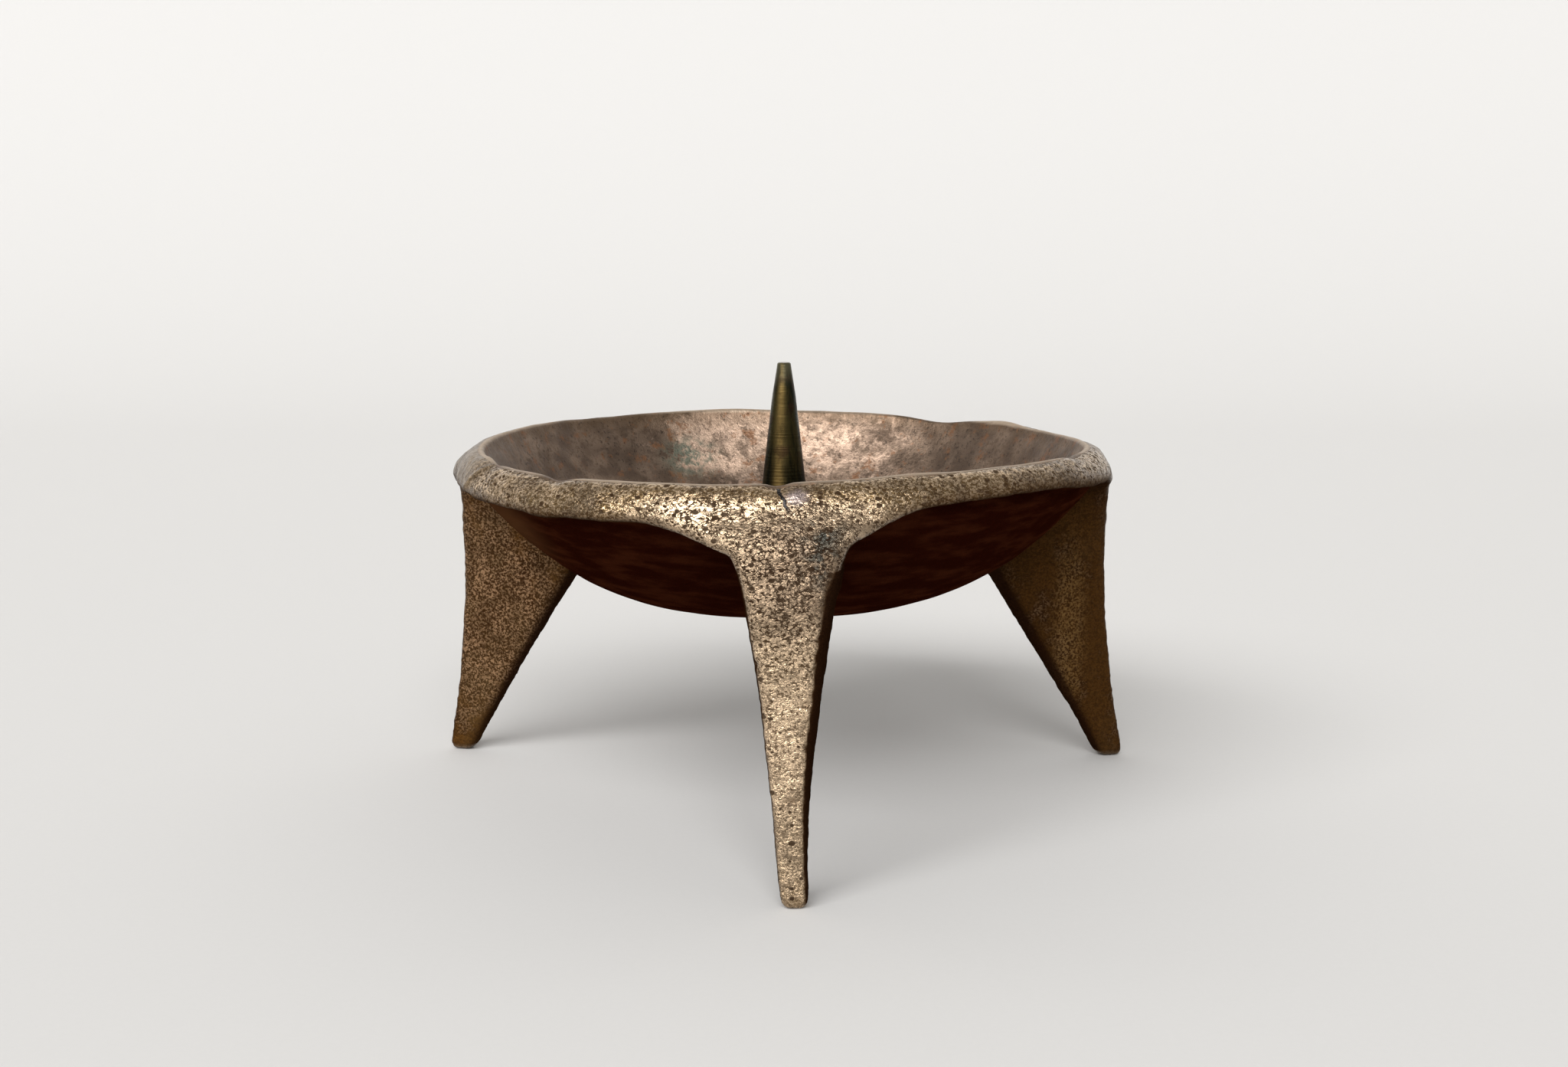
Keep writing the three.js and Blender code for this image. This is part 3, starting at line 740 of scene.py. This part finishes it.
class CANDLESTICK_OT_fixing(bpy.types.Operator):
    """Give the screw and the washer under the bowl their finish"""

    bl_idname = "candlestick.fixing"
    bl_label = "Screw and washer"

    def execute(self, context):
        material = brass_material()
        for name in ("pricket_screw", "pricket_washer"):
            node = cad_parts[name]
            node.data.materials.clear()
            node.data.materials.append(material)
        return {"FINISHED"}


# Finishes

# Fixed tones of the finishes, beside the colours that the panel offers.
TONES = {
    # Casting, rubbed faces
    "old_gold": (0.22, 0.135, 0.065),
    "olive": (0.235, 0.145, 0.056),
    "dark_olive": (0.13, 0.073, 0.024),
    "tan": (0.13, 0.08, 0.036),
    "back_brown": (0.075, 0.038, 0.012),
    # Casting, other faces
    "russet": (0.13, 0.058, 0.014),
    "deep_brown": (0.042, 0.019, 0.005),
    "speck_ground": (0.052, 0.022, 0.007),
    "speck": (0.42, 0.25, 0.135),
    "glint": (0.40, 0.23, 0.085),
    # Casting, all over and in single places
    "dull_brown": (0.12, 0.075, 0.030),
    # painted shade round the front leg's top
    "painted_tee_shade": (0.13, 0.072, 0.036),
    "joint_green": (0.030, 0.032, 0.022),
    # painted reflection of the silvery ends, over a brushed grain
    "sheen_grey_dark": (0.07, 0.044, 0.023),
    "sheen_grey": (0.28, 0.21, 0.135),
    # painted shade on the legs' edges, under the bowl and along the band's lower edge
    "painted_shade_brown": (0.017, 0.0065, 0.003),
    "lilac": (0.36, 0.29, 0.28),
    "crack": (0.012, 0.008, 0.006),
    # Bowl
    "sand": (0.27, 0.19, 0.135),
    "umber_fleck": (0.085, 0.055, 0.036),
    "edge_brown": (0.16, 0.10, 0.055),
    "cloud_brown": (0.09, 0.062, 0.045),
    "rust": (0.24, 0.11, 0.05),
    "verdigris": (0.12, 0.17, 0.13),
    "soot": (0.02, 0.015, 0.012),
    # painted red reflections on the bowl's underside
    "painted_red_reflection": (0.036, 0.009, 0.0035),
    "painted_warm_reflection": (0.085, 0.036, 0.014),
    "bare_edge": (0.70, 0.56, 0.42),
    # Pricket, screw and washer
    "green_black": (0.010, 0.012, 0.006),
    "drab": (0.10, 0.075, 0.022),
    "rubbed_brass": (0.26, 0.175, 0.058),
    "brown_cloud": (0.045, 0.022, 0.010),
    # darker towards the pricket's foot
    "dark_foot": (0.020, 0.022, 0.022),
    "tip_brass": (0.28, 0.26, 0.16),
    "brass": (0.42, 0.31, 0.15),
    "brass_shade": (0.20, 0.14, 0.07),
    "brass_fleck": (0.05, 0.035, 0.02),
}


class Wires:
    """Adds nodes to one material and joins them."""

    def __init__(self, name):
        self.material = bpy.data.materials.new(name)
        self.material.use_nodes = True
        self.tree = self.material.node_tree
        self.tree.nodes.clear()
        self.shader = self.add("ShaderNodeBsdfPrincipled")
        out = self.add("ShaderNodeOutputMaterial")
        self.tree.links.new(self.shader.outputs[0], out.inputs[0])
        self.place = self.add("ShaderNodeTexCoord").outputs["Object"]

    def add(self, kind, settings=None, **inputs):
        node = self.tree.nodes.new(kind)
        for key, value in (settings or {}).items():
            setattr(node, key, value)
        for key, value in inputs.items():
            self.join(node, key.replace("_", " "), value)
        return node

    def join(self, node, key, value):
        socket = node.inputs[key] if not key.isdigit() else node.inputs[int(key)]
        if isinstance(value, bpy.types.NodeSocket):
            self.tree.links.new(value, socket)
        else:
            socket.default_value = value

    def attribute(self, name):
        return self.add("ShaderNodeAttribute", {"attribute_name": name}).outputs["Fac"]

    def along(self, axis, vector=None):
        """One coordinate of the place, in metres."""
        return self.add("ShaderNodeSeparateXYZ", Vector=vector or self.place).outputs[axis]

    def noise(self, scale, detail=3, roughness=0.55, distortion=0.0, vector=None):
        node = self.add(
            "ShaderNodeTexNoise", Vector=vector or self.place, Scale=scale, Detail=detail,
            Roughness=roughness, Distortion=distortion,
        )
        return node.outputs["Fac"]

    def span(self, value, low, high, to_low=0.0, to_high=1.0):
        """Maps low to high smoothly on to the new range."""
        node = self.add(
            "ShaderNodeMapRange", {"interpolation_type": "SMOOTHSTEP"}, Value=value,
            From_Min=low, From_Max=high, To_Min=to_low, To_Max=to_high,
        )
        return node.outputs["Result"]

    def sums(self, operation, a, b=0.0):
        node = self.add("ShaderNodeMath", {"operation": operation})
        self.join(node, "0", a)
        self.join(node, "1", b)
        return node.outputs[0]

    plus = functools.partialmethod(sums, "ADD")
    minus = functools.partialmethod(sums, "SUBTRACT")
    times = functools.partialmethod(sums, "MULTIPLY")
    least = functools.partialmethod(sums, "MINIMUM")
    most = functools.partialmethod(sums, "MAXIMUM")

    def blend(self, share, a, b):
        """From colour a to colour b, each a socket, a tone's name or three numbers."""
        node = self.add("ShaderNodeMix", {"data_type": "RGBA"})
        self.join(node, "0", share)
        for key, colour in (("6", a), ("7", b)):
            if not isinstance(colour, bpy.types.NodeSocket):
                colour = (*(TONES[colour] if isinstance(colour, str) else colour), 1)
            self.join(node, key, colour)
        return node.outputs[2]

    def spot(self, place, radius, strength, squash=(1, 1, 1)):
        """A soft patch at a place in millimetres from the bowl's axis, drawn out where squash is small."""
        middle = AXIS + Vector(place) * MM
        away = self.add("ShaderNodeVectorMath", {"operation": "DISTANCE"})
        self.join(away, "0", self.stretched(*squash))
        self.join(away, "1", [a * b for a, b in zip(middle, squash)])
        return self.span(away.outputs["Value"], radius * MM, 0.2 * radius * MM, 0.0, strength)

    def warped(self, vector, scale, amount):
        """The same coordinates pushed about by noise."""
        push = self.add("ShaderNodeTexNoise", Vector=vector, Scale=scale, Detail=2)
        node = self.add("ShaderNodeVectorMath", {"operation": "MULTIPLY_ADD"})
        self.join(node, "0", push.outputs["Color"])
        self.join(node, "1", (amount, amount, amount))
        self.join(node, "2", vector)
        return node.outputs[0]

    def stretched(self, x, y, z):
        return self.add("ShaderNodeMapping", Vector=self.place, Scale=(x, y, z)).outputs[0]

    def bump(self, height, depth):
        return self.add("ShaderNodeBump", Height=height, Distance=depth).outputs[0]

    def shade(self, colour, roughness, metallic, normal=None):
        self.join(self.shader, "Base Color", colour)
        self.join(self.shader, "Roughness", roughness)
        self.join(self.shader, "Metallic", metallic)
        if normal is not None:
            self.join(self.shader, "Normal", normal)
        return self.material


def crack_over_front_leg(w):
    """1 in the leaning crack of the band, 0 elsewhere."""
    lean = 0.6
    middle = AXIS + Vector((0.66, 0, 65)) * MM
    place = w.warped(w.place, 900, 0.0012)
    away = w.plus(w.times(w.along("Z", place), lean), w.along("X", place))
    away = w.sums("ABSOLUTE", w.minus(away, lean * middle.z + middle.x))
    crack = w.times(w.span(away, 0.42 * MM, 0.18 * MM), w.spot((0, -60, 65.4), 4.2, 1.6))
    return w.least(crack, 1.0)


def cast_material(colours):
    """Finely pitted bronze, rubbed golden on its outward faces and brown elsewhere, with painted shade and a
    painted reflection in places.
    """
    w = Wires("pitted_bronze")
    rubbed = w.attribute("rubbed")
    silver_sheen = w.attribute("silver_sheen")
    painted_shade = w.attribute("painted_shade")
    level = w.along("Z")
    flat = w.stretched(1, 1, 1.4)
    wrinkles = w.noise(1800, detail=3, roughness=0.6, distortion=0.7, vector=flat)
    patches = w.noise(170, detail=4, roughness=0.65)
    dots = w.noise(2300, detail=2, roughness=0.6, distortion=0.5)
    bronze = tuple(colours.rubbed_bronze)

    # How densely pitted: most round the front leg's top
    dense = w.plus(w.spot((-5, -66, 52), 38, 1.2, (0.9, 1, 0.4)), w.span(patches, 0.5, 0.66, 0.0, 0.4))
    dense = w.times(w.least(dense, 1.0), w.span(level, 62.8 * MM, 66.2 * MM, 1.0, 0.45))
    dense = w.most(dense, w.span(silver_sheen, 0, 1, 0.45, 0.1))

    # Pits: fine lines and worm-like wrinkles, and round holes of all sizes
    crazed = w.add(
        "ShaderNodeTexVoronoi", {"feature": "DISTANCE_TO_EDGE"}, Scale=900,
        Vector=w.warped(flat, 1500, 0.0011),
    ).outputs["Distance"]
    line = w.times(w.span(crazed, 0.10, 0.03), w.span(w.noise(620, detail=2), 0.44, 0.56))
    worms = w.most(line, w.span(wrinkles, 0.45, 0.36))
    worms = w.times(worms, w.span(level, 30 * MM, 48 * MM, 0.45, 1.0))
    holes = w.add("ShaderNodeTexVoronoi", Vector=w.warped(flat, 1500, 0.0006), Scale=640)
    chance = w.add("ShaderNodeSeparateColor", Color=holes.outputs["Color"]).outputs[0]
    chance = w.minus(chance, w.times(dense, 0.27))
    size = w.times(w.span(chance, -0.1, 0.7, 0.0, 0.42), w.span(patches, 0.62, 0.40, 0.5, 1.0))
    hole = w.span(w.minus(size, holes.outputs["Distance"]), -0.03, 0.08)
    pits = w.most(w.times(worms, w.span(dense, 0, 1, 0.6, 1.0)), hole)
    pits = w.times(pits, w.span(silver_sheen, 0, 1, 1.0, 0.3))

    # Rubbed faces: golden with olive between, purer at the feet, browner towards the back
    golden = w.most(w.span(wrinkles, 0.37, 0.55), w.span(dense, 0, 1, 0.55, 0.0))
    golden = w.blend(golden, "old_gold", bronze)
    golden = w.blend(w.span(level, 30 * MM, 6 * MM, 0.0, 0.4), golden, bronze)
    olive = w.blend(w.span(patches, 0.4, 0.6), "olive", "dark_olive")
    flecks = w.most(w.span(dense, 0.4, 1.0), w.span(wrinkles, 0.47, 0.57, 0.0, 0.9))
    golden = w.blend(flecks, olive, golden)
    golden = w.blend(w.span(patches, 0.48, 0.66, 0.0, 0.5), golden, "tan")
    golden = w.blend(w.span(w.along("Y"), -15 * MM, 20 * MM, 0.0, 0.72), golden, "back_brown")

    # Other faces: brown, speckled most on the left leg, and a glint down the right leg
    speckled = w.blend(w.span(dots, 0.44, 0.62), "speck_ground", "speck")
    brown = w.blend(w.span(dots, 0.36, 0.64), tuple(colours.brown_bronze), "russet")
    where = w.plus(w.times(w.spot((-62, 18, 30), 26, 1.0, (1, 1, 0.8)), 0.4), patches)
    brown = w.blend(w.span(where, 0.50, 0.74), brown, speckled)
    brown = w.blend(w.span(patches, 0.42, 0.66, 0.0, 0.5), brown, "deep_brown")
    glint = w.times(w.spot((57.5, 17, 26), 5, 0.6, (1, 1, 0.18)), w.span(dots, 0.4, 0.6))
    brown = w.blend(glint, brown, "glint")

    # Both, with painted shade round the front leg's top, greener patches at its joint, and the silvery ends
    # painted as a reflection over a brushed grain
    metal = w.blend(rubbed, brown, golden)
    metal = w.blend(w.span(w.noise(50, detail=3), 0.5, 0.72, 0.0, 0.35), metal, "dull_brown")
    # Painted shade round the front leg's top
    metal = w.blend(w.spot((2, -67, 54), 17, 0.66, (1, 1, 1.1)), metal, "painted_tee_shade")
    joint = w.plus(w.spot((6, -66, 60.5), 7, 0.9, (1, 1, 2.2)), w.spot((6.5, -67, 55.5), 6, 0.9))
    metal = w.blend(w.times(joint, w.span(w.noise(420, detail=3), 0.40, 0.56)), metal, "joint_green")
    brushed = w.noise(1.0, detail=3, roughness=0.7, vector=w.stretched(260, 1300, 420))
    sheen_grey = w.blend(w.span(brushed, 0.42, 0.60), "sheen_grey_dark", "sheen_grey")
    # Silvery ends: a painted reflection over a brushed grain
    metal = w.blend(w.times(silver_sheen, 0.8), metal, sheen_grey)

    # Dark pits, painted shade on the legs' edges, under the bowl and along the band's lower edge, the crack
    # and the lilac spot beside it
    dark = w.times(pits, w.span(rubbed, 0, 1, 0.35, 0.92))
    colour = w.blend(dark, metal, tuple(colours.pit_dark))
    colour = w.blend(w.times(painted_shade, 0.95), colour, "painted_shade_brown")
    crack = crack_over_front_leg(w)
    lilac = w.times(w.spot((2.0, -60.8, 65.6), 2.4, 0.8, (0.8, 1, 1)), w.span(crack, 0, 1, 1, 0))
    colour = w.blend(lilac, colour, "lilac")
    colour = w.blend(crack, colour, "crack")

    # Relief
    relief = w.minus(w.times(wrinkles, 1.2), w.times(pits, 0.6))
    relief = w.plus(relief, w.times(w.noise(2700, detail=2, roughness=0.6), 0.3))
    relief = w.times(relief, w.span(dense, 0, 1, 0.6, 0.9))
    relief = w.times(relief, w.span(level, 58 * MM, 62.5 * MM, 1.0, 0.6))
    relief = w.plus(relief, w.times(brushed, w.span(silver_sheen, 0, 1, 0.0, 0.28)))
    normal = w.bump(w.minus(relief, crack), 0.2 * MM)

    # Shine
    rough = w.most(w.span(pits, 0, 1, 0.2, 0.8), w.span(rubbed, 0, 1, 0.42, 0.23))
    rough = w.most(rough, w.span(painted_shade, 0, 1, 0.0, 0.8))
    bare = w.most(silver_sheen, w.most(painted_shade, pits))
    coat = w.times(rubbed, w.span(bare, 0, 0.8, 0.9, 0.0))
    w.join(w.shader, "Coat Weight", w.times(coat, w.span(dense, 0.3, 0.9, 0.25, 1.0)))
    w.shader.inputs["Coat Roughness"].default_value = 0.2
    w.join(w.shader, "Coat Normal", normal)
    w.join(w.shader, "Specular IOR Level", w.times(rubbed, w.span(bare, 0.2, 0.8, 0.4, 0.05)))
    shine = w.times(w.span(rubbed, 0, 1, 0.7, 0.95), w.span(w.times(pits, 0.8), 0, 0.9, 1.0, 0.0))
    shine = w.times(shine, w.times(w.span(silver_sheen, 0, 1, 1.0, 0.6), w.span(painted_shade, 0, 1, 1.0, 0.0)))
    return w.shade(colour, rough, shine, normal)


def bowl_material(colours):
    """Dark red-brown underside, partly painted shade and with a painted red reflection, and a mottled inside
    with pale copper patches.
    """
    w = Wires("dark_bronze")
    inside = w.attribute("inside")
    cloud = w.noise(110, detail=7, roughness=0.72, vector=w.warped(w.place, 220, 0.006))
    small = w.noise(520, detail=5, roughness=0.75)

    # Inside: brown with pale copper patches, darker near the edge, with rust, verdigris and soot
    pale = w.plus(w.spot((4, 50, 60), 44, 0.5), w.spot((-18, 50, 62), 14, 0.3))
    patches = w.plus(w.times(cloud, 0.75), w.times(pale, 0.3))
    ground = w.span(w.noise(260, detail=5, roughness=0.7), 0.4, 0.6)
    ground = w.blend(ground, tuple(colours.umber), "sand")
    mottled = w.blend(w.span(patches, 0.46, 0.60), ground, tuple(colours.copper))
    mottled = w.blend(w.span(small, 0.48, 0.64, 0.0, 0.65), mottled, "umber_fleck")
    upper = w.span(w.plus(w.along("Z"), w.times(cloud, 12 * MM)), 68 * MM, 74 * MM, 0.0, 0.7)
    mottled = w.blend(upper, mottled, "edge_brown")
    clouds = w.span(w.noise(60, detail=3, roughness=0.6), 0.5, 0.62, 0.0, 0.45)
    mottled = w.blend(clouds, mottled, "cloud_brown")
    rust = w.times(w.span(w.noise(300, detail=4, roughness=0.7), 0.56, 0.66), 0.7)
    mottled = w.blend(rust, mottled, "rust")
    verdigris = w.times(w.spot((-20, 47, 58), 9, 0.9, (1, 1, 1.4)), w.span(small, 0.42, 0.55))
    mottled = w.blend(w.times(verdigris, 0.8), mottled, "verdigris")
    soot = w.span(w.noise(1500, detail=2), 0.58, 0.72, 0.0, 0.6)
    mottled = w.blend(soot, mottled, "soot")

    # Underside: nearly black as partly painted shade, with rings of painted red reflection and a warmer
    # painted reflection at the left
    rings = w.noise(1.0, detail=3, vector=w.stretched(120, 120, 500))
    under = w.blend(w.span(rings, 0.4, 0.7), tuple(colours.underside), "painted_red_reflection")
    under = w.blend(w.spot((-50, -24, 60), 18, 0.7), under, "painted_warm_reflection")

    colour = w.blend(inside, under, mottled)
    colour = w.blend(w.attribute("worn"), colour, "bare_edge")
    normal = w.bump(w.plus(w.times(small, 0.7), w.times(rings, 0.15)), 0.35 * MM)
    rough = w.plus(w.span(small, 0.3, 0.7, 0.36, 0.55), w.span(inside, 0, 1, 0.25, 0.0))
    w.join(w.shader, "Specular IOR Level", w.span(inside, 0, 1, 0.0, 0.5))
    return w.shade(colour, rough, w.span(inside, 0, 1, 0.0, 0.8), normal)


def pricket_material():
    """Turned brass under a green-black patina."""
    w = Wires("patinated_brass")
    grooves = w.noise(1.0, detail=3, vector=w.stretched(60, 60, 2500))
    streak = w.noise(1.0, detail=4, roughness=0.6, vector=w.stretched(420, 420, 70))
    cloud = w.noise(260, detail=4, roughness=0.6)
    level = w.along("Z")
    rubbed = w.times(w.attribute("rubbed"), w.span(streak, 0.32, 0.56, 0.25, 1))
    colour = w.blend(w.span(streak, 0.45, 0.65, 0.0, 0.5), "green_black", "drab")
    colour = w.blend(rubbed, colour, "rubbed_brass")
    colour = w.blend(w.span(cloud, 0.5, 0.66, 0.0, 0.75), colour, "brown_cloud")
    # Darker towards the foot
    foot = w.span(level, PRICKET_FOOT + 12 * MM, PRICKET_FOOT + 7 * MM, 0.0, 0.6)
    colour = w.blend(foot, colour, "dark_foot")
    tip = w.span(level, PRICKET_TOP - 5 * MM, PRICKET_TOP - 0.5 * MM, 0.0, 0.45)
    colour = w.blend(w.times(tip, w.span(streak, 0.35, 0.6, 0.4, 1)), colour, "tip_brass")
    normal = w.bump(w.plus(grooves, cloud), 0.05 * MM)
    return w.shade(colour, w.span(cloud, 0.3, 0.7, 0.26, 0.42), 0.9, normal)


def brass_material():
    """Dull brass of the screw and the washer."""
    w = Wires("plain_brass")
    cloud = w.noise(300, detail=4, roughness=0.6)
    speck = w.noise(1500, detail=2)
    colour = w.blend(w.span(cloud, 0.35, 0.65), "brass", "brass_shade")
    colour = w.blend(w.span(speck, 0.6, 0.75, 0.0, 0.6), colour, "brass_fleck")
    return w.shade(colour, w.span(cloud, 0.3, 0.7, 0.35, 0.55), 0.95, w.bump(speck, 0.05 * MM))


def floor_material(colours):
    """Pale matt paper with a faint grain."""
    w = Wires("studio_paper")
    pale = tuple(colours.floor)
    grain = w.span(w.noise(900, detail=2), 0.4, 0.6, 0.0, 0.06)
    return w.shade(w.blend(grain, pale, tuple(0.9 * part for part in pale)), 0.85, 0.0)


# Studio


class CANDLESTICK_OT_stage(bpy.types.Operator):
    """Make the floor, the light and the camera"""

    bl_idname = "candlestick.stage"
    bl_label = "Studio"

    def execute(self, context):
        scene = context.scene
        self.floor(scene)
        self.world(scene)
        self.lamp(scene)
        self.camera(scene)
        scene.view_settings.view_transform = "Standard"
        return {"FINISHED"}

    def floor(self, scene):
        """A sheet of paper that lies flat and curves up far behind."""
        half_width, front, back, high, bend = 4.0, -2.5, 1.5, 3.0, 0.9
        bm = bmesh.new()
        edge = bm.edges.new([bm.verts.new((x, front, 0)) for x in (-half_width, half_width)])
        fold = []
        for move in ((0, back - front, 0), (0, 0, high)):
            raised = bmesh.ops.extrude_edge_only(bm, edges=[edge])["geom"]
            verts = picked(raised, bmesh.types.BMVert)
            bmesh.ops.translate(bm, verts=verts, vec=move)
            edge = bm.edges.get(verts)
            fold.append(edge)
        bmesh.ops.bevel(
            bm, geom=fold[:1], offset=bend, offset_type="OFFSET", segments=24, profile=0.5,
            affect="EDGES", material=-1,
        )
        placed(bm, "studio_floor", floor_material(scene.candlestick_colours))

    def world(self, scene):
        scene.world = bpy.data.worlds.new("studio")
        scene.world.use_nodes = True
        back = scene.world.node_tree.nodes["Background"]
        back.inputs["Color"].default_value = (1.0, 0.985, 0.965, 1)
        back.inputs["Strength"].default_value = WORLD_STRENGTH

    def lamp(self, scene):
        """One large soft lamp, high up behind the camera and to its left."""
        light = bpy.data.lights.new("key_lamp", "AREA")
        light.shape = "RECTANGLE"
        light.size, light.size_y = LAMP_SIZE
        light.energy = LAMP_POWER
        lamp = bpy.data.objects.new("key_lamp", light)
        lamp.location = LAMP_PLACE
        aim = LAMP_AIM - LAMP_PLACE
        lamp.rotation_euler = aim.to_track_quat("-Z", "Y").to_euler()
        scene.collection.objects.link(lamp)

    def camera(self, scene):
        data = bpy.data.cameras.new("camera")
        data.sensor_width = 36
        data.lens = CAMERA_LENS
        data.clip_start = 0.02
        camera = bpy.data.objects.new("camera", data)
        camera.location = AXIS + CAMERA_OFFSET
        camera.rotation_euler = (math.radians(90 - CAMERA_TILT), 0, 0)
        scene.collection.objects.link(camera)
        scene.camera = camera


class CANDLESTICK_PT_panel(bpy.types.Panel):
    bl_label = "Candlestick"
    bl_space_type = "VIEW_3D"
    bl_region_type = "UI"
    bl_category = "Candlestick"

    def draw(self, context):
        for step in STEPS:
            self.layout.operator(f"candlestick.{step}")
        for group in (context.scene.candlestick_sizes, context.scene.candlestick_colours):
            for key in group.__annotations__:
                self.layout.prop(group, key)


STEPS = ("casting", "bowl", "pricket", "fixing", "stage")
CLASSES = (
    CandlestickSizes,
    CandlestickColours,
    CANDLESTICK_OT_casting,
    CANDLESTICK_OT_bowl,
    CANDLESTICK_OT_pricket,
    CANDLESTICK_OT_fixing,
    CANDLESTICK_OT_stage,
    CANDLESTICK_PT_panel,
)


def register():
    for item in CLASSES:
        bpy.utils.register_class(item)
    bpy.types.Scene.candlestick_sizes = bpy.props.PointerProperty(type=CandlestickSizes)
    bpy.types.Scene.candlestick_colours = bpy.props.PointerProperty(type=CandlestickColours)


def unregister():
    del bpy.types.Scene.candlestick_colours
    del bpy.types.Scene.candlestick_sizes
    for item in reversed(CLASSES):
        bpy.utils.unregister_class(item)


def main():
    register()
    for step in STEPS:
        getattr(bpy.ops.candlestick, step)()


if __name__ == "__main__":
    main()
